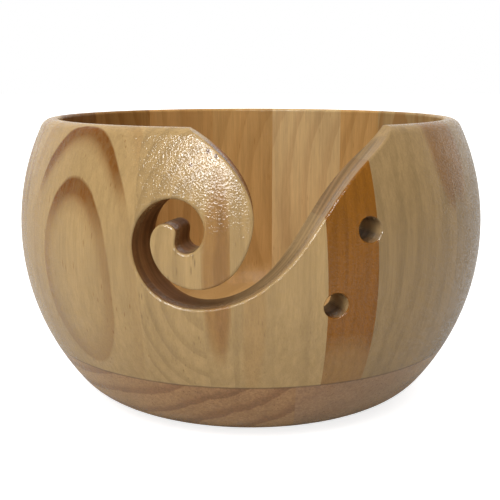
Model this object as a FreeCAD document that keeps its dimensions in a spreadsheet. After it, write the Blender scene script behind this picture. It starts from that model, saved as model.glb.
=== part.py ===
import FreeCAD, Part
import math
import os
from collections import namedtuple

import Sketcher
from FreeCAD import Placement, Vector

# A stave-built wooden yarn bowl, in millimetres.
# The origin is the centre of the underside, +Z is up, and the swirl slot is at the front (-Y).
# Azimuths are measured round the bowl from the front, positive towards +X.

DRIVING_SIZES = {
    # turned outside
    "BowlHeight": 90.0,
    "WidestDiameter": 150.0,
    "WidestHeight": 55.0,
    "FootCornerRadius": 22.0,
    "RimOuterRounding": 4.1,
    "RimInnerRounding": 1.0,
    # turned inside
    "BoreDiameter": 124.0,
    "CoveRadius": 16.0,
    "FloorHeight": 13.0,
    # wall and base
    "SeamHeight": 19.6,
    "BaseJointOffset": 12.3,
    # swirl slot and the two round yarn holes
    "SlotOuterPlane": 90.0,
    "SlotInnerPlane": 30.0,
    "EdgeRounding": 0.8,
    "HoleDiameter": 7.0,
    "HoleEdgeBreak": 0.35,
    "UpperHoleAzimuth": 24.9,
    "UpperHoleHeight": 63.7,
    "LowerHoleAzimuth": 17.6,
    "LowerHoleHeight": 44.0,
}

# One glued joint between two staves: its azimuth at the widest height, and how many degrees its
# top leans back towards lower azimuths.
Joint = namedtuple("Joint", "azimuth lean")
JOINTS = [
    Joint(-64.0, 0.0),
    Joint(-24.0, 2.0),
    Joint(-10.0, 1.0),
    Joint(-4.1, 0.7),
    Joint(15.4, 2.6),
    Joint(26.8, 1.8),
    Joint(52.0, 0.0),
    Joint(76.0, 0.0),
    Joint(104.0, 0.0),
    Joint(130.0, 0.0),
    Joint(146.0, 0.0),
    Joint(172.0, 0.0),
    Joint(194.0, 0.0),
    Joint(218.5, 0.0),
    Joint(244.0, 0.0),
    Joint(270.0, 0.0),
]

# The swirl slot on the wall, as (azimuth, height): from the rim down round the lobe, round the
# hook's tip, through the eye, back outside the hook and up the long curve to the rim.
SLOT_OUTLINE = [
    (-17.6, 91.6),
    (-12.45, 88.5),
    (-6.54, 83.4),
    (-1.9, 76.7),
    (0.5, 68.1),
    (-0.4, 60.4),
    (-4.1, 52.4),
    (-10.6, 48.8),
    (-16.6, 50.9),
    (-20.3, 57.2),
    (-20.4, 63.2),
    (-17.9, 65.8),
    (-15.3, 64.1),
    (-15.3, 60.3),
    (-13.3, 58.3),
    (-10.3, 60.4),
    (-9.5, 65.1),
    (-11.9, 70.2),
    (-16.5, 72.1),
    (-21.3, 69.9),
    (-24.4, 64.2),
    (-24.5, 55.8),
    (-21.3, 48.4),
    (-15.5, 44.2),
    (-8.2, 43.8),
    (0.3, 47.6),
    (8.1, 56.1),
    (16.0, 69.3),
    (24.3, 79.9),
    (31.8, 86.4),
    (36.7, 91.6),
]
# the slot's sides run on up past the rim to here
SLOT_TOP = 98.0

# extra wood on the glued-up ring, turned away last
BLANK_ALLOWANCE = 4.0
# the drill works outward from inside the bore to clear of the outside
DRILL_START = 50.0
DRILL_LENGTH = 40.0
# the countersink cone runs on this far past the edge it breaks
CONE_OVERRUN = 1.0
# how far the saw blocks reach, well past the bowl
SAW_REACH = 110.0

doc = FreeCAD.newDocument("yarn_bowl")


def make_size_sheet():
    """Put every driving size in one spreadsheet, one alias per row."""
    sheet = doc.addObject("Spreadsheet::Sheet", "Sizes")
    rows = dict(DRIVING_SIZES)
    for number, joint in enumerate(JOINTS, start=1):
        rows[f"JointAzimuth{number:02d}"] = joint.azimuth
        rows[f"JointLean{number:02d}"] = joint.lean
    for row, (alias, value) in enumerate(rows.items(), start=1):
        sheet.set(f"A{row}", alias)
        sheet.set(f"B{row}", str(value))
        sheet.setAlias(f"B{row}", alias)
    doc.recompute()
    return sheet


sizes = make_size_sheet()


def origin_plane(body, role):
    """The body's own origin plane or axis with this role."""
    return next(item for item in body.Origin.OriginFeatures if item.Role == role)


def sketch_on(body, name, role="XZ_Plane"):
    """An empty sketch attached flat to one of the body's origin planes."""
    sketch = body.newObject("Sketcher::SketchObject", name)
    sketch.AttachmentSupport = [(origin_plane(body, role), "")]
    sketch.MapMode = "FlatFace"
    return sketch


def bind(sketch, kind, *geometry, size, value):
    """Add a dimension to the sketch and drive it from the sheet."""
    index = sketch.addConstraint(Sketcher.Constraint(kind, *geometry, value))
    sketch.setExpression(f"Constraints[{index}]", size)


def arc(centre_x, centre_z, radius, start_degrees, end_degrees):
    """A sketch arc, counter-clockwise from start to end."""
    circle = Part.Circle(Vector(centre_x, centre_z, 0), Vector(0, 0, 1), radius)
    return Part.ArcOfCircle(circle, math.radians(start_degrees), math.radians(end_degrees))


def line(start, end):
    return Part.LineSegment(Vector(*start, 0), Vector(*end, 0))


# sketch point and axis numbers
START, END, CENTRE = 1, 2, 3
ORIGIN = -1
UPRIGHT_AXIS = -2


# ---- turned profiles -------------------------------------------------------------------------

def reach(radius, rise):
    """Horizontal leg of a right triangle with this hypotenuse and vertical leg."""
    return math.sqrt(radius**2 - rise**2)


def level_angle(centre_z, radius, height):
    """Angle above level at which an arc about centre_z reaches a height, in degrees."""
    return math.degrees(math.asin((height - centre_z) / radius))


def join(sketch, kind, *pairs):
    """Join one end of a geometry to one end of another, tangent or only coincident."""
    for first, first_end, second, second_end in pairs:
        sketch.addConstraint(Sketcher.Constraint(kind, first, first_end, second, second_end))


def level(sketch, *lines):
    for item in lines:
        sketch.addConstraint(Sketcher.Constraint("Horizontal", item))


def upright(sketch, *lines):
    for item in lines:
        sketch.addConstraint(Sketcher.Constraint("Vertical", item))


def draw_wall_profile(sketch):
    """Half section of the glued-up ring: round outside, straight bore, cove and flat seam.

    Its top stands above the finished rim, which is turned last.
    """
    radius, centre_z, seam = sizes.WidestDiameter / 2, sizes.WidestHeight, sizes.SeamHeight
    bore, cove_z = sizes.BoreDiameter / 2, sizes.FloorHeight + sizes.CoveRadius
    cove_x = bore - sizes.CoveRadius
    top = sizes.BowlHeight + BLANK_ALLOWANCE
    seam_out = reach(radius, seam - centre_z)
    seam_in = cove_x + reach(sizes.CoveRadius, seam - cove_z)

    side, rim, wall, cove, joint = sketch.addGeometry([
        arc(0, centre_z, radius, level_angle(centre_z, radius, seam),
            level_angle(centre_z, radius, top)),
        line((reach(radius, top - centre_z), top), (bore, top)),
        line((bore, top), (bore, cove_z)),
        arc(cove_x, cove_z, sizes.CoveRadius, level_angle(cove_z, sizes.CoveRadius, seam), 0),
        line((seam_in, seam), (seam_out, seam)),
    ])
    join(sketch, "Coincident", (side, END, rim, START), (rim, END, wall, START),
         (cove, START, joint, START), (joint, END, side, START))
    join(sketch, "Tangent", (wall, END, cove, END))
    level(sketch, rim, joint)
    upright(sketch, wall)
    sketch.addConstraint(Sketcher.Constraint("PointOnObject", side, CENTRE, UPRIGHT_AXIS))
    bind(sketch, "Radius", side, size="Sizes.WidestDiameter / 2", value=radius)
    bind(sketch, "Radius", cove, size="Sizes.CoveRadius", value=sizes.CoveRadius)
    bind(sketch, "DistanceX", ORIGIN, START, wall, START, size="Sizes.BoreDiameter / 2", value=bore)
    bind(sketch, "DistanceY", ORIGIN, START, side, CENTRE, size="Sizes.WidestHeight", value=centre_z)
    bind(sketch, "DistanceY", ORIGIN, START, rim, START,
         size=f"Sizes.BowlHeight + {BLANK_ALLOWANCE}", value=top)
    bind(sketch, "DistanceY", ORIGIN, START, joint, START, size="Sizes.SeamHeight", value=seam)
    bind(sketch, "DistanceY", ORIGIN, START, cove, CENTRE,
         size="Sizes.FloorHeight + Sizes.CoveRadius", value=cove_z)


def draw_rim_waste(sketch):
    """Half section of what is turned away above the rim, leaving its two rounded edges."""
    radius, centre_z, top = sizes.WidestDiameter / 2, sizes.WidestHeight, sizes.BowlHeight
    bore, lip_r, rim_r = sizes.BoreDiameter / 2, sizes.RimInnerRounding, sizes.RimOuterRounding
    rim_x = reach(radius - rim_r, top - rim_r - centre_z)
    rim_angle = level_angle(centre_z, radius - rim_r, top - rim_r)
    edge_x = rim_x + rim_r * math.cos(math.radians(rim_angle))
    edge_z = top - rim_r + rim_r * math.sin(math.radians(rim_angle))
    inside, outside, above = bore - BLANK_ALLOWANCE, radius, top + 2 * BLANK_ALLOWANCE

    rim, flat, lip, step, inner, lid, outer, ledge = sketch.addGeometry([
        arc(rim_x, top - rim_r, rim_r, rim_angle, 90),
        line((rim_x, top), (bore + lip_r, top)),
        arc(bore + lip_r, top - lip_r, lip_r, 90, 180),
        line((bore, top - lip_r), (inside, top - lip_r)),
        line((inside, top - lip_r), (inside, above)),
        line((inside, above), (outside, above)),
        line((outside, above), (outside, edge_z)),
        line((outside, edge_z), (edge_x, edge_z)),
    ])
    join(sketch, "Tangent", (rim, END, flat, START), (flat, END, lip, START))
    join(sketch, "Coincident", (lip, END, step, START), (step, END, inner, START),
         (inner, END, lid, START), (lid, END, outer, START), (outer, END, ledge, START),
         (ledge, END, rim, START))
    level(sketch, flat, step, lid, ledge)
    upright(sketch, inner, outer)
    sketch.addConstraint(Sketcher.Constraint("Horizontal", lip, CENTRE, lip, END))
    bind(sketch, "Radius", rim, size="Sizes.RimOuterRounding", value=rim_r)
    bind(sketch, "Radius", lip, size="Sizes.RimInnerRounding", value=lip_r)
    bind(sketch, "DistanceX", ORIGIN, START, lip, END, size="Sizes.BoreDiameter / 2", value=bore)
    bind(sketch, "DistanceY", ORIGIN, START, lip, CENTRE,
         size="Sizes.BowlHeight - Sizes.RimInnerRounding", value=top - lip_r)
    bind(sketch, "DistanceX", ORIGIN, START, rim, CENTRE,
         size="sqrt((Sizes.WidestDiameter / 2 - Sizes.RimOuterRounding) ^ 2"
              " - (Sizes.BowlHeight - Sizes.RimOuterRounding - Sizes.WidestHeight) ^ 2)",
         value=rim_x)
    bind(sketch, "DistanceY", rim, CENTRE, rim, START,
         size="Sizes.RimOuterRounding * (Sizes.BowlHeight - Sizes.RimOuterRounding"
              " - Sizes.WidestHeight) / (Sizes.WidestDiameter / 2 - Sizes.RimOuterRounding)",
         value=edge_z - top + rim_r)
    bind(sketch, "DistanceX", ORIGIN, START, inner, START,
         size=f"Sizes.BoreDiameter / 2 - {BLANK_ALLOWANCE}", value=inside)
    bind(sketch, "DistanceX", ORIGIN, START, outer, START,
         size="Sizes.WidestDiameter / 2", value=outside)
    bind(sketch, "DistanceY", ORIGIN, START, lid, START,
         size=f"Sizes.BowlHeight + {2 * BLANK_ALLOWANCE}", value=above)


def draw_base_profile(sketch):
    """Half section of the base disc: flat underside, rounded foot, seam, cove and floor."""
    radius, centre_z, seam = sizes.WidestDiameter / 2, sizes.WidestHeight, sizes.SeamHeight
    foot_r, floor = sizes.FootCornerRadius, sizes.FloorHeight
    foot_x = reach(radius - foot_r, foot_r - centre_z)
    foot_angle = level_angle(centre_z, radius - foot_r, foot_r)
    cove_x, cove_z = sizes.BoreDiameter / 2 - sizes.CoveRadius, floor + sizes.CoveRadius
    seam_out = reach(radius, seam - centre_z)
    seam_in = cove_x + reach(sizes.CoveRadius, seam - cove_z)

    under, foot, side, joint, cove, inside, axis = sketch.addGeometry([
        line((0, 0), (foot_x, 0)),
        arc(foot_x, foot_r, foot_r, -90, foot_angle),
        arc(0, centre_z, radius, foot_angle, level_angle(centre_z, radius, seam)),
        line((seam_out, seam), (seam_in, seam)),
        arc(cove_x, cove_z, sizes.CoveRadius, -90, level_angle(cove_z, sizes.CoveRadius, seam)),
        line((cove_x, floor), (0, floor)),
        line((0, floor), (0, 0)),
    ])
    join(sketch, "Tangent", (under, END, foot, START), (foot, END, side, START),
         (cove, START, inside, START))
    join(sketch, "Coincident", (side, END, joint, START), (joint, END, cove, END),
         (inside, END, axis, START), (axis, END, under, START), (ORIGIN, START, under, START))
    level(sketch, under, joint, inside)
    upright(sketch, axis)
    sketch.addConstraint(Sketcher.Constraint("PointOnObject", side, CENTRE, UPRIGHT_AXIS))
    bind(sketch, "Radius", foot, size="Sizes.FootCornerRadius", value=foot_r)
    bind(sketch, "Radius", side, size="Sizes.WidestDiameter / 2", value=radius)
    bind(sketch, "Radius", cove, size="Sizes.CoveRadius", value=sizes.CoveRadius)
    bind(sketch, "DistanceY", ORIGIN, START, side, CENTRE, size="Sizes.WidestHeight", value=centre_z)
    bind(sketch, "DistanceY", ORIGIN, START, joint, START, size="Sizes.SeamHeight", value=seam)
    bind(sketch, "DistanceY", ORIGIN, START, inside, START, size="Sizes.FloorHeight", value=floor)
    bind(sketch, "DistanceX", ORIGIN, START, cove, CENTRE,
         size="Sizes.BoreDiameter / 2 - Sizes.CoveRadius", value=cove_x)


def turn(body, feature_type, name, draw_profile):
    """Turn a half section about the bowl's axis, to add wood or to cut it away."""
    sketch = sketch_on(body, f"{name}_profile")
    draw_profile(sketch)
    turning = body.newObject(feature_type, name)
    turning.Profile = sketch
    turning.ReferenceAxis = (sketch, ["V_Axis"])
    turning.Angle = 360
    doc.recompute()
    return turning


# ---- swirl slot and yarn holes -----------------------------------------------------------------

def slot_parameters():
    """Curve parameter at each slot outline point, the same on every plane.

    It is the length walked along the outline on the wall, so both sections of the slot are
    matched point for point and its sides stay straight.
    """
    radius = sizes.WidestDiameter / 2
    parameters = [0.0]
    for (azimuth, height), (next_azimuth, next_height) in zip(SLOT_OUTLINE, SLOT_OUTLINE[1:]):
        across = radius * math.radians(next_azimuth - azimuth)
        parameters.append(parameters[-1] + math.hypot(across, next_height - height))
    return parameters


def slot_section(body, name, plane_size):
    """The slot's closed outline on an upright plane in front of the axis.

    Every saw line runs level through the bowl's axis, so the outline's width scales with the
    plane's distance while its heights stay the same.
    """
    sketch = sketch_on(body, name)
    distance = getattr(sizes, plane_size)
    sketch.setExpression(".AttachmentOffset.Base.z", f"Sizes.{plane_size}")
    points = [Vector(distance * math.tan(math.radians(azimuth)), height, 0)
              for azimuth, height in SLOT_OUTLINE]
    edge = Part.BSplineCurve()
    edge.interpolate(Points=points, Parameters=slot_parameters())
    left, right = points[0], points[-1]
    outline, right_side, top, left_side = sketch.addGeometry([
        edge,
        line((right.x, right.y), (right.x, SLOT_TOP)),
        line((right.x, SLOT_TOP), (left.x, SLOT_TOP)),
        line((left.x, SLOT_TOP), (left.x, left.y)),
    ])
    sketch.addConstraint(Sketcher.Constraint("Block", outline))
    join(sketch, "Coincident", (outline, END, right_side, START), (right_side, END, top, START),
         (top, END, left_side, START), (left_side, END, outline, START))
    level(sketch, top)
    upright(sketch, right_side, left_side)
    sketch.addConstraint(
        Sketcher.Constraint("DistanceY", ORIGIN, START, top, START, SLOT_TOP))
    sketch.Visibility = False
    return sketch


def saw_slot(body):
    """Saw the swirl slot right through the front of the wall."""
    outer = slot_section(body, "slot_outer_section", "SlotOuterPlane")
    inner = slot_section(body, "slot_inner_section", "SlotInnerPlane")
    slot = body.newObject("PartDesign::SubtractiveLoft", "swirl_slot")
    slot.Profile = outer
    slot.Sections = [inner]
    slot.Ruled = True
    doc.recompute()
    return slot


def facing_out(azimuth, height, distance, tilt="0"):
    """Expression for a placement with its own Z pointing away from the axis.

    The distance is measured level from the axis and the tilt is upward, in degrees.
    """
    return (f"create(<<placement>>; create(<<vector>>; {distance} * sin({azimuth} * 1 deg);"
            f" -({distance}) * cos({azimuth} * 1 deg); {height});"
            f" create(<<rotation>>; {azimuth} - 90; 90 - {tilt}; 0))")


def drill_hole(body, which):
    """Drill one round yarn hole level through the wall and break its outer edge."""
    azimuth, height = f"Sizes.{which}HoleAzimuth", f"Sizes.{which}HoleHeight"
    hole = body.newObject("PartDesign::SubtractiveCylinder", f"{which.lower()}_hole")
    hole.setExpression("Radius", "Sizes.HoleDiameter / 2")
    hole.Height = DRILL_LENGTH
    hole.setExpression("Placement", facing_out(azimuth, height, DRILL_START))

    # a right-angled cone stands square to the round outside and runs past both ends of its cut
    rise = f"({height} - Sizes.WidestHeight)"
    slope = f"asin({rise} / (Sizes.WidestDiameter / 2)) / 1 deg"
    below = f"(Sizes.HoleEdgeBreak + {CONE_OVERRUN})"
    start = f"((Sizes.WidestDiameter / 2 - {below}) * cos({slope} * 1 deg))"
    start_height = f"Sizes.WidestHeight + {rise} * (1 - 2 * {below} / Sizes.WidestDiameter)"
    edge = body.newObject("PartDesign::SubtractiveCone", f"{which.lower()}_hole_edge")
    edge.setExpression("Radius1", f"Sizes.HoleDiameter / 2 - {CONE_OVERRUN}")
    edge.setExpression("Radius2", f"Sizes.HoleDiameter / 2 + 2 * Sizes.HoleEdgeBreak + {CONE_OVERRUN}")
    edge.setExpression("Height", f"2 * {below}")
    edge.setExpression("Placement", facing_out(azimuth, start_height, start, f"({slope})"))
    doc.recompute()


def slot_edges(shape):
    """Names of the edges where the sawn slot meets the round outside or the bore."""
    names = []
    for index, edge in enumerate(shape.Edges, start=1):
        surfaces = [face.Surface for face in shape.ancestorsOfType(edge, Part.Face)]
        sawn = any(isinstance(surface, Part.BSplineSurface) for surface in surfaces)
        turned = any(isinstance(surface, (Part.Sphere, Part.Cylinder)) for surface in surfaces)
        if sawn and turned:
            names.append(f"Edge{index}")
    return names


def round_slot_edges(body):
    """Sand the slot's edges to a small even radius."""
    cut = body.Tip
    rounding = body.newObject("PartDesign::Fillet", "edge_rounding")
    rounding.Base = (cut, slot_edges(cut.Shape))
    rounding.setExpression("Radius", "Sizes.EdgeRounding")
    doc.recompute()


def make_ring():
    """The whole wall in the order it is worked: turned, sawn, sanded, drilled, rim turned."""
    body = doc.addObject("PartDesign::Body", "ring")
    turn(body, "PartDesign::Revolution", "ring_turning", draw_wall_profile)
    saw_slot(body)
    round_slot_edges(body)
    drill_hole(body, "Upper")
    drill_hole(body, "Lower")
    turn(body, "PartDesign::Groove", "rim_turning", draw_rim_waste)
    return body


def make_base_disc():
    body = doc.addObject("PartDesign::Body", "base_disc")
    turn(body, "PartDesign::Revolution", "base_turning", draw_base_profile)
    return body


# ---- splitting the ring and the disc at their glued joints ---------------------------------------

def beyond_joint(number):
    """A block that fills everything past one stave joint, in the direction of rising azimuth."""
    block = doc.addObject("Part::Box", f"beyond_joint_{number:02d}")
    block.Length = 2 * SAW_REACH
    block.Width = SAW_REACH
    block.Height = 2 * SAW_REACH
    azimuth, lean = f"Sizes.JointAzimuth{number:02d}", f"Sizes.JointLean{number:02d}"
    block.setExpression(
        "Placement",
        "create(<<placement>>; create(<<vector>>; 0; 0; Sizes.WidestHeight);"
        f" create(<<rotation>>; {azimuth} - 90; 0; {lean}))"
        f" * create(<<placement>>; create(<<vector>>; -{SAW_REACH}; 0; -{SAW_REACH});"
        " create(<<rotation>>; 0; 0; 0))")
    return block


def split(kind, name, base, tool):
    """Keep the part of base inside the tool (Part::Common) or outside it (Part::Cut)."""
    result = doc.addObject(kind, name)
    result.Base = base
    result.Tool = tool
    return result


def label_piece(piece, name):
    piece.Label = name
    pieces.append(piece)


def label_stave(stave, names):
    """Name a stave, or each separate length of it where the slot has sawn it through.

    The names run from the top length down.
    """
    solids = sorted(stave.Shape.Solids, key=lambda solid: -solid.CenterOfMass.z)
    if len(solids) != len(names):
        raise RuntimeError(f"{names[0]}: {len(solids)} lengths, {len(names)} names")
    if len(names) == 1:
        label_piece(stave, names[0])
        return
    for solid, name in zip(solids, names):
        length = doc.addObject("Part::Feature", f"length_{name}")
        length.Shape = solid
        length.Placement = Placement()
        label_piece(length, name)


# The staves in order from the first joint, each with the names of its lengths, top to bottom.
STAVE_NAMES = [
    ["stave_front_left_broad"],
    ["stave_swirl_top", "stave_swirl_hook", "stave_swirl_foot"],
    ["stave_flame_top", "stave_flame_foot"],
    ["stave_centre_lobe", "stave_centre_foot"],
    ["stave_heartwood"],
    ["stave_front_right"],
    ["stave_right_front"],
    ["stave_right_middle"],
    ["stave_right_back"],
    ["stave_back_right_narrow"],
    ["stave_back_right"],
    ["stave_back_middle"],
    ["stave_back_left"],
    ["stave_left_back"],
    ["stave_left_middle"],
    ["stave_left_front"],
]


def make_staves(ring):
    """Part the ring into its staves at the joints between them."""
    blocks = [beyond_joint(number) for number in range(1, len(JOINTS) + 1)]
    staves = []
    for number, block in enumerate(blocks, start=1):
        next_block = blocks[number % len(blocks)]
        wedge = split("Part::Cut", f"wedge_{number:02d}", block, next_block)
        staves.append(split("Part::Common", f"stave_{number:02d}", ring, wedge))
    doc.recompute()
    for stave, names in zip(staves, STAVE_NAMES, strict=True):
        label_stave(stave, names)


def make_base_boards(disc):
    """Part the base disc into its two glued boards along one straight front-to-back joint."""
    block = doc.addObject("Part::Box", "right_of_base_joint")
    block.Length = SAW_REACH
    block.Width = 2 * SAW_REACH
    block.Height = 2 * SAW_REACH
    block.setExpression(
        "Placement",
        f"create(<<placement>>; create(<<vector>>; Sizes.BaseJointOffset; -{SAW_REACH};"
        f" -{SAW_REACH}); create(<<rotation>>; 0; 0; 0))")
    left = split("Part::Cut", "left_board", disc, block)
    right = split("Part::Common", "right_board", disc, block)
    doc.recompute()
    label_piece(left, "base_board_left")
    label_piece(right, "base_board_right")


def check_document():
    """Stop if any object failed to build or any piece isn't one valid solid."""
    for item in doc.Objects:
        if {"Invalid", "Error"} & set(item.State):
            raise RuntimeError(f"{item.Name} failed: {item.State}")
    for piece in pieces:
        shape = piece.Shape
        if shape.isNull() or not shape.isValid() or len(shape.Solids) != 1:
            raise RuntimeError(f"{piece.Label} is not one valid solid")


pieces = []
make_staves(make_ring())
make_base_boards(make_base_disc())
check_document()

os.makedirs("parts", exist_ok=True)
for piece in pieces:
    piece.Shape.Solids[0].exportStep(f"parts/{piece.Label}.step")
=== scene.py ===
import math
from dataclasses import dataclass

import bpy
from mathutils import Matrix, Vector


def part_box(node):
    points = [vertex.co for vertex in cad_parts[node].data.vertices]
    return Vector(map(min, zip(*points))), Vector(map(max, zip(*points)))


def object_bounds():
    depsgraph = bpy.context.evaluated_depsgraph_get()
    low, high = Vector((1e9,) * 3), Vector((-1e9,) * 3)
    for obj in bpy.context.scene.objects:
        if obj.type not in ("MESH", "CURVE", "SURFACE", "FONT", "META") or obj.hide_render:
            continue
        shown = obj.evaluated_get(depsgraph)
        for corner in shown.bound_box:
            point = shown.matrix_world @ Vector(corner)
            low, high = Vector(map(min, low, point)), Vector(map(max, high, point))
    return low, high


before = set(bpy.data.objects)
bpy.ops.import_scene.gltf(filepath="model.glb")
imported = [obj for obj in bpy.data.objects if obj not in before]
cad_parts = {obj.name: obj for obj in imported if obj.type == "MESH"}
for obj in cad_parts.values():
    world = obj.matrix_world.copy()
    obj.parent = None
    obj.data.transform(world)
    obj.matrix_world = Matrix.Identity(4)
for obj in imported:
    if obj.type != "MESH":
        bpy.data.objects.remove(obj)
cad_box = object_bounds()

# The looks of a stave-built yarn bowl. Every CAD piece keeps its shape and gets its own wood,
# figured in millimetres in the CAD frame: +X is right, -Y is the front and +Z is up. Azimuths are
# degrees round the bowl from the front, positive towards +X.

MM = 0.001

BOWL_RADIUS = (cad_box[1].x - cad_box[0].x) / 2 / MM
SEAM_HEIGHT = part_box("base_board_left")[1].z / MM
WIDEST_HEIGHT = 55.0

# ---- node building ------------------------------------------------------------------------------


@dataclass(frozen=True)
class Pattern:
    """A noise of so many features per mm, drawn out along the grain where along is below 1."""
    scale: float
    along: float = 1.0
    detail: float = 2.0
    roughness: float = 0.5


class Graph:
    """Builds a shader node tree: the calls add nodes and return their output sockets."""

    def __init__(self, owner):
        """Start with the emptied node tree of a material or world."""
        owner.use_nodes = True
        self.tree = owner.node_tree
        self.tree.nodes.clear()

    def node(self, kind, values=None, **settings):
        """Add a node with values or sockets for its inputs, and return the node itself."""
        node = self.tree.nodes.new(kind)
        for name, value in settings.items():
            setattr(node, name, value)
        for key, value in (values or {}).items():
            self.feed(node.inputs[key], value)
        return node

    def feed(self, socket, value):
        if isinstance(value, bpy.types.NodeSocket):
            self.tree.links.new(value, socket)
        elif socket.type == "RGBA" and len(value) == 3:
            socket.default_value = (*value, 1.0)
        else:
            socket.default_value = value

    def math(self, operation, *values):
        return self.node("ShaderNodeMath", dict(enumerate(values)), operation=operation).outputs[0]

    def add(self, first, second):
        return self.math("ADD", first, second)

    def subtract(self, first, second):
        return self.math("SUBTRACT", first, second)

    def times(self, first, second):
        return self.math("MULTIPLY", first, second)

    def vector(self, operation, *values):
        node = self.node("ShaderNodeVectorMath", dict(enumerate(values)), operation=operation)
        return node.outputs["Value" if operation in ("DOT_PRODUCT", "LENGTH") else "Vector"]

    def join(self, x, y, z):
        return self.node("ShaderNodeCombineXYZ", {0: x, 1: y, 2: z}).outputs[0]

    def split(self, vector):
        return self.node("ShaderNodeSeparateXYZ", {0: vector}).outputs

    def noise(self, vector, pattern):
        values = {"Vector": vector, "Scale": pattern.scale, "Detail": pattern.detail,
                  "Roughness": pattern.roughness}
        return self.node("ShaderNodeTexNoise", values).outputs["Fac"]

    def smooth(self, value, low, high, out_low=0.0, out_high=1.0):
        """Smooth step from out_low at low to out_high at high."""
        values = {"Value": value, "From Min": low, "From Max": high,
                  "To Min": out_low, "To Max": out_high}
        node = self.node("ShaderNodeMapRange", values, interpolation_type="SMOOTHSTEP")
        return node.outputs[0]

    def swing(self, noise, half_band, out_low, out_high):
        """Smooth step across a band round 0.5, the middle of a noise."""
        return self.smooth(noise, 0.5 - half_band, 0.5 + half_band, out_low, out_high)

    def centred(self, noise, reach):
        """A noise moved to run from -reach to reach."""
        return self.math("MULTIPLY_ADD", noise, 2 * reach, -reach)

    def ramp(self, factor, stops):
        """A grey ramp through (position, value) stops."""
        node = self.node("ShaderNodeValToRGB", {"Fac": factor})
        elements = node.color_ramp.elements
        while len(elements) < len(stops):
            elements.new(0.5)
        for element, (position, value) in zip(elements, stops):
            element.position = position
            element.color = (value, value, value, 1.0)
        return node.outputs[0]

    def mix(self, factor, first, second, blend="MIX"):
        """Two colours mixed, by the factor and colour sockets of a node that has more kinds."""
        values = {0: factor, 6: first, 7: second}
        return self.node("ShaderNodeMix", values, data_type="RGBA", blend_type=blend).outputs[2]

    def scale_colour(self, colour, factor):
        return self.mix(1.0, colour, self.join(factor, factor, factor), "MULTIPLY")


# ---- the woods ----------------------------------------------------------------------------------

PALE = (0.385, 0.250, 0.105)
CREAM = (0.560, 0.380, 0.178)
GOLD = (0.480, 0.275, 0.098)
FLOOR_GOLD = (0.500, 0.290, 0.100)
HONEY = (0.460, 0.250, 0.085)
TAN = (0.345, 0.225, 0.095)
SAND = (0.295, 0.190, 0.082)
FAWN = (0.258, 0.167, 0.073)
AMBER = (0.290, 0.145, 0.042)
BROWN = (0.215, 0.105, 0.034)
ORANGE = (0.225, 0.084, 0.009)
DARK_ORANGE = (0.150, 0.055, 0.006)
OLIVE_RING = (0.180, 0.115, 0.048)
BROWN_RING = (0.220, 0.085, 0.016)
CROWN_BROWN = (0.150, 0.045, 0.002)
BASE_GOLD = (0.450, 0.285, 0.130)
BASE_GREY = (0.400, 0.265, 0.140)
BASE_RING = (0.210, 0.105, 0.046)
PITCH = (0.110, 0.045, 0.012)
GLUE = (0.070, 0.035, 0.018)
SAWN = (0.235, 0.150, 0.072)
# Painted shade: a darker brown for the cut walls that face right, away from the lights.
PAINTED_SHADE_BROWN = (0.165, 0.052, 0.014)


@dataclass(frozen=True)
class Patch:
    """A soft-edged oval of another colour, in mm on the wall as for Wood."""
    across: float
    up: float
    half_width: float
    half_height: float
    colour: tuple
    strength: float
    soft: float = 0.2


@dataclass(frozen=True)
class Wood:
    """One piece of wood, described in mm across and up the wall from the middle of its face.

    The middle is at the azimuth given and the bowl's widest height. The growth rings are nested
    ovals: across and up give their centre, then come the half sizes of the first one, the lean of
    the long axis, the spread (1 packs them closer outward, 0.5 keeps them even), and how many
    more rings there are for each mm of depth. Wobble is how far they wander, in rings.

    The wood goes from its early to its late colour through each ring, as far as strength says.
    Where crown is given, the late colour is strong only above that height on the first ring, and
    CROWN_STEP mm higher on the others. Dashes is how dark the resin dashes are, and a seed of
    its own gives a wood its own noise.
    """
    azimuth: float
    early: tuple
    late: tuple
    strength: float
    half_width: float
    half_height: float
    across: float = 0.0
    up: float = 0.0
    lean: float = 0.0
    spread: float = 0.5
    depth_rings: float = 0.10
    wobble: float = 0.5
    crown: float = None
    dashes: float = 0.3
    patches: tuple = ()
    seed: float = 0.0


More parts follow.
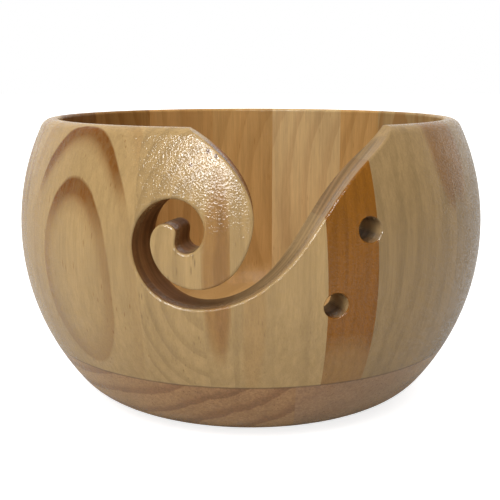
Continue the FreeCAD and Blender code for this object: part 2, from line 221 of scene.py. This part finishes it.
# A name covers every node that starts with it, so a longer name comes before its shorter one.
WOODS = {
    "stave_front_left_broad": Wood(
        -42.0, PALE, CROWN_BROWN, 1.0, half_width=14.3, half_height=26.6, across=1.0, up=-5.7,
        lean=0.034, spread=0.79, wobble=0.10, crown=18.0, dashes=0.5,
        patches=(Patch(1.0, -12.0, 12.0, 19.0, TAN, 0.35, 0.4),)),
    "stave_swirl": Wood(
        -7.0, PALE, OLIVE_RING, 0.32, half_width=11.6, half_height=18.8,
        spread=1.0, wobble=0.25, dashes=0.7, seed=3.0,
        patches=(Patch(-7.0, 25.8, 0.5, 0.5, PITCH, 0.8),)),
    "stave_flame": Wood(
        -7.0, PALE, OLIVE_RING, 0.18, half_width=11.6, half_height=25.0,
        spread=1.0, wobble=0.2, dashes=0.4, seed=7.0,
        patches=(Patch(0.3, -2.0, 3.9, 23.5, AMBER, 0.85, 0.5),
                 Patch(1.4, -4.0, 1.8, 21.0, BROWN, 0.55, 0.7),
                 Patch(-2.7, 29.3, 0.5, 0.7, PITCH, 0.9),
                 Patch(-0.5, 28.1, 0.45, 0.6, PITCH, 0.9))),
    "stave_centre": Wood(
        5.0, PALE, OLIVE_RING, 0.22, half_width=9.0, half_height=110.0, across=-26.0,
        dashes=0.35, seed=11.0,
        patches=(Patch(-5.5, -16.0, 3.0, 22.0, AMBER, 0.3, 0.5),)),
    "stave_heartwood": Wood(
        21.0, ORANGE, DARK_ORANGE, 0.35, half_width=3.2, half_height=60.0, across=-18.0,
        dashes=0.5, seed=13.0,
        patches=(Patch(0.0, -37.0, 14.0, 14.0, TAN, 0.45, 0.8),)),
    "stave_front_right": Wood(
        42.0, SAND, OLIVE_RING, 0.25, half_width=6.5, half_height=120.0, across=-30.0,
        wobble=0.8, seed=17.0,
        patches=(Patch(12.5, 30.0, 8.5, 18.0, BROWN, 0.9, 0.35),)),
    "stave_right_front": Wood(
        64.0, FAWN, OLIVE_RING, 0.25, half_width=7.0, half_height=90.0, across=-22.0,
        wobble=0.8, seed=19.0,
        patches=(Patch(-12.0, 30.0, 8.0, 17.0, BROWN, 0.8, 0.4),)),
    "stave_right_middle": Wood(
        90.0, PALE, BROWN_RING, 0.35, half_width=8.0, half_height=90.0, across=24.0, seed=23.0),
    "stave_right_back": Wood(
        117.0, TAN, BROWN_RING, 0.5, half_width=9.0, half_height=24.0, across=2.0, up=2.0,
        spread=0.8, seed=29.0),
    "stave_back_right_narrow": Wood(
        138.0, GOLD, BROWN_RING, 0.25, half_width=7.0, half_height=90.0, across=20.0, seed=31.0),
    "stave_back_right": Wood(
        159.0, CREAM, BROWN_RING, 0.22, half_width=8.0, half_height=90.0, across=30.0, seed=37.0),
    "stave_back_middle": Wood(
        183.0, GOLD, BROWN_RING, 0.2, half_width=8.0, half_height=90.0, across=26.0, seed=41.0),
    "stave_back_left": Wood(
        206.0, HONEY, BROWN_RING, 0.3, half_width=11.0, half_height=42.0, across=-9.0, up=-8.0,
        spread=0.8, seed=43.0),
    "stave_left_back": Wood(
        231.0, AMBER, CROWN_BROWN, 0.35, half_width=7.0, half_height=90.0, across=-24.0,
        seed=47.0),
    "stave_left_middle": Wood(
        257.0, BROWN, CROWN_BROWN, 0.4, half_width=8.0, half_height=90.0, across=22.0, seed=53.0),
    "stave_left_front": Wood(
        284.0, PALE, BROWN_RING, 0.6, half_width=8.0, half_height=25.0, across=3.0, up=4.0,
        spread=0.8, crown=10.0, seed=59.0),
    "base_board_left": Wood(
        0.0, BASE_GOLD, BASE_RING, 0.6, half_width=7.5, half_height=7.5, across=-75.0, up=95.0,
        depth_rings=0.0, wobble=0.45, dashes=0.8, seed=61.0),
    "base_board_right": Wood(
        0.0, BASE_GREY, BASE_RING, 0.12, half_width=9.0, half_height=9.0, across=-30.0, up=105.0,
        depth_rings=0.0, wobble=0.5, dashes=0.8, seed=67.0),
}

# ---- the figure of bare wood --------------------------------------------------------------------

STAVE_GRAIN = (0.0, 0.0, 1.0)
BASE_GRAIN = (0.0, 1.0, 0.0)
SEED_SHIFT = (7.0, 11.0, 5.0)

# Share of late wood across one ring: it grows to the ring's end and drops there at once.
RING_PROFILE = [
    (0.0, 0.5), (0.03, 0.0), (0.46, 0.06), (0.63, 0.4), (0.77, 0.9), (0.97, 1.0), (1.0, 0.5)]
RING_FIBRE_BAND = 0.15
RING_FIBRE_SHARE = 0.8

SLOW_WANDER = Pattern(scale=0.05, along=0.3)
SLOW_REACH = 1.0
QUICK_WANDER = Pattern(scale=0.35, along=0.2, detail=3.0)
QUICK_REACH = 0.25

# Where only the crowns are dark. The rings' limits are squared sizes, as oval gives them.
CROWN_FADE = 14.0
CROWN_STEP = 8.0
FIRST_RING_ENDS = (1.0, 1.3)
FIRST_RING_SIDES = 0.42
OTHER_RING_SIDES = 0.12
FAR_RINGS = (2.5, 3.2)
FAR_RING_SHARE = 0.25

TONE_BAND = 0.2
FIBRES = Pattern(scale=0.8, along=0.04, detail=4.0, roughness=0.6)
FIBRE_TONES = (0.91, 1.07)
FINE_FIBRES = Pattern(scale=4.0, along=0.05)
FINE_TONES = (-0.05, 0.05)
BROAD_CHANGES = Pattern(scale=0.08, along=0.3)
BROAD_TONES = (0.93, 1.06)

DASH_CELLS = Pattern(scale=0.9, along=0.14)
DASH_EDGE = (0.07, 0.24)
DASH_CROWDS = Pattern(scale=0.13, detail=1.0)
CROWD_EDGE = (0.48, 0.62)
PATCH_WANDER = 0.8


def wood_of(node):
    """The wood a node is cut from: separate lengths of one stave share theirs."""
    return next(wood for name, wood in WOODS.items() if node.startswith(name))


def wall_place(graph, place, azimuth):
    """Across and up on the wall from the middle of a face, and depth in from the round outside."""
    turn = math.radians(azimuth)
    across = graph.vector("DOT_PRODUCT", place, (math.cos(turn), math.sin(turn), 0.0))
    from_middle = graph.vector("SUBTRACT", place, (0.0, 0.0, WIDEST_HEIGHT))
    depth = graph.subtract(BOWL_RADIUS, graph.vector("LENGTH", from_middle))
    return across, graph.split(from_middle)[2], depth


def oval(graph, across, up, shape, lean=0.0):
    """Squared size of the oval through a place: 0 at the shape's centre, 1 on its own oval."""
    up = graph.subtract(up, shape.up)
    across = graph.math("MULTIPLY_ADD", up, lean, graph.subtract(across, shape.across))
    across = graph.times(across, 1 / shape.half_width)
    up = graph.times(up, 1 / shape.half_height)
    return graph.add(graph.times(across, across), graph.times(up, up))


def drawn_out(graph, place, grain, along):
    """Coordinates that change more slowly along the grain, which draws patterns out."""
    return graph.vector("MULTIPLY", place, [along if part else 1.0 for part in grain])


def grain_noise(graph, place, grain, pattern):
    return graph.noise(drawn_out(graph, place, grain, pattern.along), pattern)


def ring_wander(graph, wood, place, grain):
    """How far the rings stray from their ovals, in rings."""
    slow = grain_noise(graph, place, grain, SLOW_WANDER)
    quick = grain_noise(graph, place, grain, QUICK_WANDER)
    wander = graph.add(graph.centred(slow, SLOW_REACH), graph.centred(quick, QUICK_REACH))
    return graph.times(wander, wood.wobble)


def crown_share(graph, wood, size, up):
    """Share of the late colour that is left where only the crowns of the rings are dark."""
    other = graph.smooth(size, *FIRST_RING_ENDS)
    up = graph.math("MULTIPLY_ADD", other, -CROWN_STEP, up)
    sides = graph.math("MULTIPLY_ADD", other, OTHER_RING_SIDES - FIRST_RING_SIDES, FIRST_RING_SIDES)
    share = graph.smooth(up, wood.crown - CROWN_FADE, wood.crown, sides, 1.0)
    return graph.times(share, graph.smooth(size, *FAR_RINGS, 1.0, FAR_RING_SHARE))


def late_share(graph, wood, wall, wander, fibres):
    """How far the colour is towards late wood, from the growth rings."""
    across, up, depth = wall
    size = oval(graph, across, up, wood, wood.lean)
    rings = graph.math("POWER", size, wood.spread)
    rings = graph.math("MULTIPLY_ADD", depth, wood.depth_rings, rings)
    rings = graph.add(rings, wander)
    late = graph.ramp(graph.math("FRACT", rings), RING_PROFILE)
    strength = graph.swing(fibres, RING_FIBRE_BAND, RING_FIBRE_SHARE * wood.strength, wood.strength)
    late = graph.times(late, strength)
    if wood.crown is None:
        return late
    return graph.times(late, crown_share(graph, wood, size, up))


def add_patches(graph, wood, colour, wall, wander):
    across, up, _ = wall
    for patch in wood.patches:
        size = oval(graph, across, up, patch)
        size = graph.add(size, graph.times(wander, PATCH_WANDER))
        inside = graph.smooth(size, 1.0 - patch.soft, 1.0 + patch.soft, patch.strength, 0.0)
        colour = graph.mix(inside, colour, patch.colour)
    return colour


def wood_tone(graph, place, grain, fibres, fine):
    """Lightness of the wood: its fibres, the finer ones between them, and broad slow changes."""
    broad = grain_noise(graph, place, grain, BROAD_CHANGES)
    tone = graph.add(graph.swing(fibres, TONE_BAND, *FIBRE_TONES),
                     graph.swing(fine, TONE_BAND, *FINE_TONES))
    return graph.times(tone, graph.swing(broad, TONE_BAND, *BROAD_TONES))


def dash_share(graph, wood, place, grain):
    """Short dark resin dashes along the grain, which come in crowds."""
    cells = graph.node("ShaderNodeTexVoronoi", {
        "Vector": drawn_out(graph, place, grain, DASH_CELLS.along), "Scale": DASH_CELLS.scale})
    dash = graph.smooth(cells.outputs["Distance"], *DASH_EDGE, 1.0, 0.0)
    crowd = graph.smooth(graph.noise(place, DASH_CROWDS), *CROWD_EDGE)
    return graph.times(graph.times(dash, crowd), wood.dashes)


def bare_wood(graph, wood, place, grain):
    """Colour of the bare wood, and the height of its fibres for the relief."""
    wall = wall_place(graph, place, wood.azimuth)
    place = graph.vector("ADD", place, [wood.seed * shift for shift in SEED_SHIFT])
    fibres = grain_noise(graph, place, grain, FIBRES)
    fine = grain_noise(graph, place, grain, FINE_FIBRES)
    wander = ring_wander(graph, wood, place, grain)

    late = late_share(graph, wood, wall, wander, fibres)
    colour = graph.mix(late, wood.early, wood.late)
    colour = add_patches(graph, wood, colour, wall, wander)
    colour = graph.scale_colour(colour, wood_tone(graph, place, grain, fibres, fine))
    colour = graph.mix(dash_share(graph, wood, place, grain), colour, wood.late)
    return colour, graph.add(graph.times(fine, 0.5), graph.times(fibres, 0.5))


# ---- cut and glued surfaces ---------------------------------------------------------------------

# Facing shares are cosines between a surface and a direction. Depths are mm below the outside.
END_GRAIN_TINT = (0.74, 0.62, 0.58)
END_GRAIN_FACING = (0.35, 0.95)
END_SPECKLE = Pattern(scale=1.3, detail=3.0, roughness=0.7)
END_SPECKLE_BAND = 0.15
END_SPECKLE_TONES = (0.82, 1.12)

INNER_DEPTH = (1.0, 3.0)
INNER_GOLD_SHARE = 0.65

CUT_FACING = (0.15, 0.55)
RIM_HEIGHTS = (85.0, 88.0)
CUT_COLOUR_SHARE = 0.8
CUT_STREAKS = Pattern(scale=0.45, along=0.04, detail=3.0)
CUT_STREAK_BAND = 0.18
CUT_STREAK_TONES = (0.68, 1.2)
# Painted shade on the cut walls facing right.
PAINTED_SHADE_FACING = (-0.5, 0.5)
# Painted light in the cream colour on the cut walls facing left.
PAINTED_LIGHT_FACING = (-0.75, -0.95)
PAINTED_LIGHT_SHARE = 0.8

GLUE_HALF_WIDTH = (0.05, 0.40)
GLUE_SHARE = 0.55
GLUE_DEPTH = (1.0, 2.0)


def surface_normal(graph):
    return graph.node("ShaderNodeNewGeometry").outputs["True Normal"]


def rough_end_grain(graph, colour, place, grain):
    """Darker, speckled wood where the surface faces along the grain."""
    facing = graph.math("ABSOLUTE", graph.vector("DOT_PRODUCT", surface_normal(graph), grain))
    speckle = graph.noise(place, END_SPECKLE)
    speckle = graph.swing(speckle, END_SPECKLE_BAND, *END_SPECKLE_TONES)
    ends = graph.scale_colour(graph.mix(1.0, colour, END_GRAIN_TINT, "MULTIPLY"), speckle)
    return graph.mix(graph.smooth(facing, *END_GRAIN_FACING), colour, ends)


def cut_share(graph, place, height, normal):
    """1 on the walls of the slot and holes, which stand square to the bowl, and 0 elsewhere."""
    level = graph.vector("MULTIPLY", place, (1.0, 1.0, 0.0))
    outward = graph.vector("NORMALIZE", level)
    square = graph.math("ABSOLUTE", graph.vector("DOT_PRODUCT", normal, outward))
    return graph.times(graph.smooth(square, *CUT_FACING, 1.0, 0.0),
                       graph.smooth(height, *RIM_HEIGHTS, 1.0, 0.0))


def cut_walls(graph, colour, place, depth):
    """Streaky brown slot and hole walls: painted shade facing right, painted light facing left."""
    normal = surface_normal(graph)
    x, _, height = graph.split(place)
    along = CUT_STREAKS.along
    streaks = graph.noise(graph.join(depth, graph.times(height, along), graph.times(x, along)),
                          CUT_STREAKS)
    facing_right = graph.split(normal)[0]
    # Painted shade on the cut walls that face right, away from the lights.
    painted_shade = graph.smooth(facing_right, *PAINTED_SHADE_FACING)
    wall = graph.mix(CUT_COLOUR_SHARE, colour, graph.mix(painted_shade, SAWN, PAINTED_SHADE_BROWN))
    wall = graph.scale_colour(wall, graph.swing(streaks, CUT_STREAK_BAND, *CUT_STREAK_TONES))
    # Painted light in a cream colour on the cut walls that face left, towards the lights.
    painted_light = graph.smooth(facing_right, *PAINTED_LIGHT_FACING, 0.0, PAINTED_LIGHT_SHARE)
    wall = graph.mix(painted_light, wall, CREAM)
    return graph.mix(cut_share(graph, place, height, normal), colour, wall)


def glue_line(graph, colour, height, depth):
    """Thin dark line outside, along the seam between the wall and the base."""
    from_seam = graph.math("ABSOLUTE", graph.subtract(height, SEAM_HEIGHT))
    line = graph.times(graph.smooth(from_seam, *GLUE_HALF_WIDTH, GLUE_SHARE, 0.0),
                       graph.smooth(depth, *GLUE_DEPTH, 1.0, 0.0))
    return graph.mix(line, colour, GLUE)


# ---- varnished wood -----------------------------------------------------------------------------

FIBRE_RELIEF = {"Strength": 0.2, "Distance": 0.1 * MM}
PEEL = Pattern(scale=1.8, detail=1.0, roughness=0.6)
PEEL_RELIEF = {"Strength": 1.0, "Distance": 0.17 * MM}
PEEL_BAND = 0.12
PEEL_THIN_SHARE = 0.4
VARNISH_DEPTH = (2.5, 5.0)
INNER_VARNISH_SHARE = 0.2

# The bare wood has no shine of its own: all of it comes from the varnish.
FINISH = {"Roughness": 0.55, "Specular IOR Level": 0.0, "Coat Roughness": 0.17, "Coat IOR": 1.45}


def varnished(graph, colour, relief, place, depth):
    """Wood under orange-peel varnish, which is thinner away from the round outside."""
    fibres = graph.node("ShaderNodeBump", {**FIBRE_RELIEF, "Height": relief})
    peel = graph.noise(place, PEEL)
    peel_bump = graph.node("ShaderNodeBump", {**PEEL_RELIEF, "Height": peel})
    coat = graph.times(graph.smooth(depth, *VARNISH_DEPTH, 1.0, INNER_VARNISH_SHARE),
                       graph.swing(peel, PEEL_BAND, PEEL_THIN_SHARE, 1.0))
    shader = graph.node("ShaderNodeBsdfPrincipled", {
        **FINISH, "Base Color": colour, "Normal": fibres.outputs[0],
        "Coat Weight": coat, "Coat Normal": peel_bump.outputs[0]})
    return shader.outputs[0]


def wood_material(name, wood, grain):
    """One wood with its figure, its cut and glued surfaces, and the varnish over them."""
    material = bpy.data.materials.new(name)
    graph = Graph(material)
    metres = graph.node("ShaderNodeTexCoord").outputs["Object"]
    place = graph.vector("MULTIPLY", metres, [1 / MM] * 3)
    depth = wall_place(graph, place, 0.0)[2]
    height = graph.split(place)[2]

    colour, relief = bare_wood(graph, wood, place, grain)
    if grain == BASE_GRAIN:
        colour = rough_end_grain(graph, colour, place, grain)
        # The floor inside is more golden, and so is the underside.
        gold = graph.smooth(depth, *INNER_DEPTH, 0.0, INNER_GOLD_SHARE)
        colour = graph.mix(gold, colour, FLOOR_GOLD)
    else:
        colour = cut_walls(graph, colour, place, depth)
    colour = glue_line(graph, colour, height, depth)

    surface = varnished(graph, colour, relief, place, depth)
    graph.node("ShaderNodeOutputMaterial", {0: surface})
    return material


def dress_nodes():
    """Give every CAD node the wood it is cut from."""
    made = {}
    for name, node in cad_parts.items():
        wood = wood_of(name)
        if wood not in made:
            grain = BASE_GRAIN if name.startswith("base") else STAVE_GRAIN
            made[wood] = wood_material(f"wood_{name}", wood, grain)
        for slot in node.material_slots:
            slot.material = made[wood]


# ---- studio -------------------------------------------------------------------------------------

WHITE = (1.0, 1.0, 1.0)
FLOOR_WIDTH = 8.0
FLOOR_GAP = 0.2 * MM
FLOOR_PAPER = (0.6, 0.6, 0.6)
FLOOR_GLOW = 0.8

# The surroundings change across spans of x, y or z in the direction looked at, from -1 to 1.
# On the wood they are brightest overhead and to the left.
SIDE_SPAN = (-0.9, 0.9)
LEFT_LIGHT, RIGHT_LIGHT = 0.46, 0.05
TOP_SPAN = (0.4, 0.95)
TOP_LIGHT = 1.9
FRONT_SPAN = (-0.9, 0.0)
FRONT_LIGHT = 0.2

# In the varnish they are brightest behind the bowl and low down.
BACK_SPAN = (0.0, 0.7)
MIRRORED_FRONT, MIRRORED_BACK = 0.12, 1.1
HIGH_SPAN = (0.2, 0.7)
MIRRORED_HIGH_SHARE = 0.4

# The camera's place is in mm, and its tilt in degrees up from looking straight down.
CAMERA_PLACE = (-0.3, -300.0, 104.17)
CAMERA_TILT = 78.85
FOCAL_LENGTH = 64.95
SENSOR_WIDTH = 36.0
CAMERA_NEAR = 10.0


@dataclass(frozen=True)
class Softbox:
    """A square soft light aimed at the bowl, degrees round from its front and up from level.

    A highlight light shows only in the varnish, the others only in the wood.
    """
    azimuth: float
    elevation: float
    metres_away: float
    metres_wide: float
    watts: float
    highlight: bool = False


SOFTBOXES = {
    "window": Softbox(-17.0, 38.0, 0.9, 0.38, 15.0, highlight=True),
    "key_light": Softbox(-23.0, 42.0, 0.9, 0.34, 1.6),
    "fill_light": Softbox(-20.0, 36.0, 1.0, 0.8, 1.9),
}


def floor_material():
    """White paper floor: bright to the camera, duller in the light it gives back to the bowl."""
    material = bpy.data.materials.new("pale_floor")
    graph = Graph(material)
    camera_ray = graph.node("ShaderNodeLightPath").outputs["Is Camera Ray"]
    paper = graph.node("ShaderNodeBsdfDiffuse", {"Color": FLOOR_PAPER})
    glow = graph.node("ShaderNodeEmission", {
        "Color": WHITE, "Strength": graph.times(camera_ray, FLOOR_GLOW)})
    both = graph.node("ShaderNodeAddShader", {0: paper.outputs[0], 1: glow.outputs[0]})
    graph.node("ShaderNodeOutputMaterial", {0: both.outputs[0]})
    return material


def build_floor():
    bpy.ops.mesh.primitive_plane_add(size=FLOOR_WIDTH, location=(0, 0, -FLOOR_GAP))
    floor = bpy.context.object
    floor.name = "studio_floor"
    floor.data.materials.append(floor_material())


def light_the_room():
    """Soft surroundings: one light on the wood, another in the varnish, white to the camera."""
    world = bpy.data.worlds.new("studio")
    bpy.context.scene.world = world
    graph = Graph(world)
    x, y, z = graph.split(graph.node("ShaderNodeTexCoord").outputs["Generated"])
    side = graph.smooth(x, *SIDE_SPAN, LEFT_LIGHT, RIGHT_LIGHT)
    top = graph.smooth(z, *TOP_SPAN, 0.0, TOP_LIGHT)
    front = graph.smooth(y, *FRONT_SPAN, FRONT_LIGHT, 0.0)
    lit = graph.add(graph.add(side, top), front)
    mirrored = graph.times(graph.smooth(y, *BACK_SPAN, MIRRORED_FRONT, MIRRORED_BACK),
                           graph.smooth(z, *HIGH_SPAN, 1.0, MIRRORED_HIGH_SHARE))
    ray = graph.node("ShaderNodeLightPath").outputs
    light = graph.mix(ray["Is Glossy Ray"], lit, mirrored)
    light = graph.mix(ray["Is Camera Ray"], light, WHITE)
    around = graph.node("ShaderNodeBackground", {"Color": light, "Strength": 1.0})
    graph.node("ShaderNodeOutputWorld", {0: around.outputs[0]})


def hang_softbox(name, box):
    data = bpy.data.lights.new(name, "AREA")
    data.shape = "SQUARE"
    data.size = box.metres_wide
    data.energy = box.watts
    lamp = bpy.data.objects.new(name, data)
    bpy.context.scene.collection.objects.link(lamp)
    turn, rise = math.radians(box.azimuth), math.radians(box.elevation)
    level = Vector((math.sin(turn), -math.cos(turn), 0.0))
    away = level * math.cos(rise) + Vector((0.0, 0.0, math.sin(rise)))
    lamp.visible_glossy = box.highlight
    lamp.visible_diffuse = not box.highlight
    lamp.location = away * box.metres_away + Vector((0.0, 0.0, WIDEST_HEIGHT * MM))
    lamp.rotation_euler = (-away).to_track_quat("-Z", "Y").to_euler()


def place_camera():
    data = bpy.data.cameras.new("camera")
    data.sensor_width = SENSOR_WIDTH
    data.lens = FOCAL_LENGTH
    data.clip_start = CAMERA_NEAR * MM
    camera = bpy.data.objects.new("camera", data)
    camera.location = Vector(CAMERA_PLACE) * MM
    camera.rotation_euler = (math.radians(CAMERA_TILT), 0.0, 0.0)
    bpy.context.scene.collection.objects.link(camera)
    bpy.context.scene.camera = camera


dress_nodes()
build_floor()
light_the_room()
for name, box in SOFTBOXES.items():
    hang_softbox(name, box)
place_camera()
bpy.context.scene.view_settings.view_transform = "Standard"
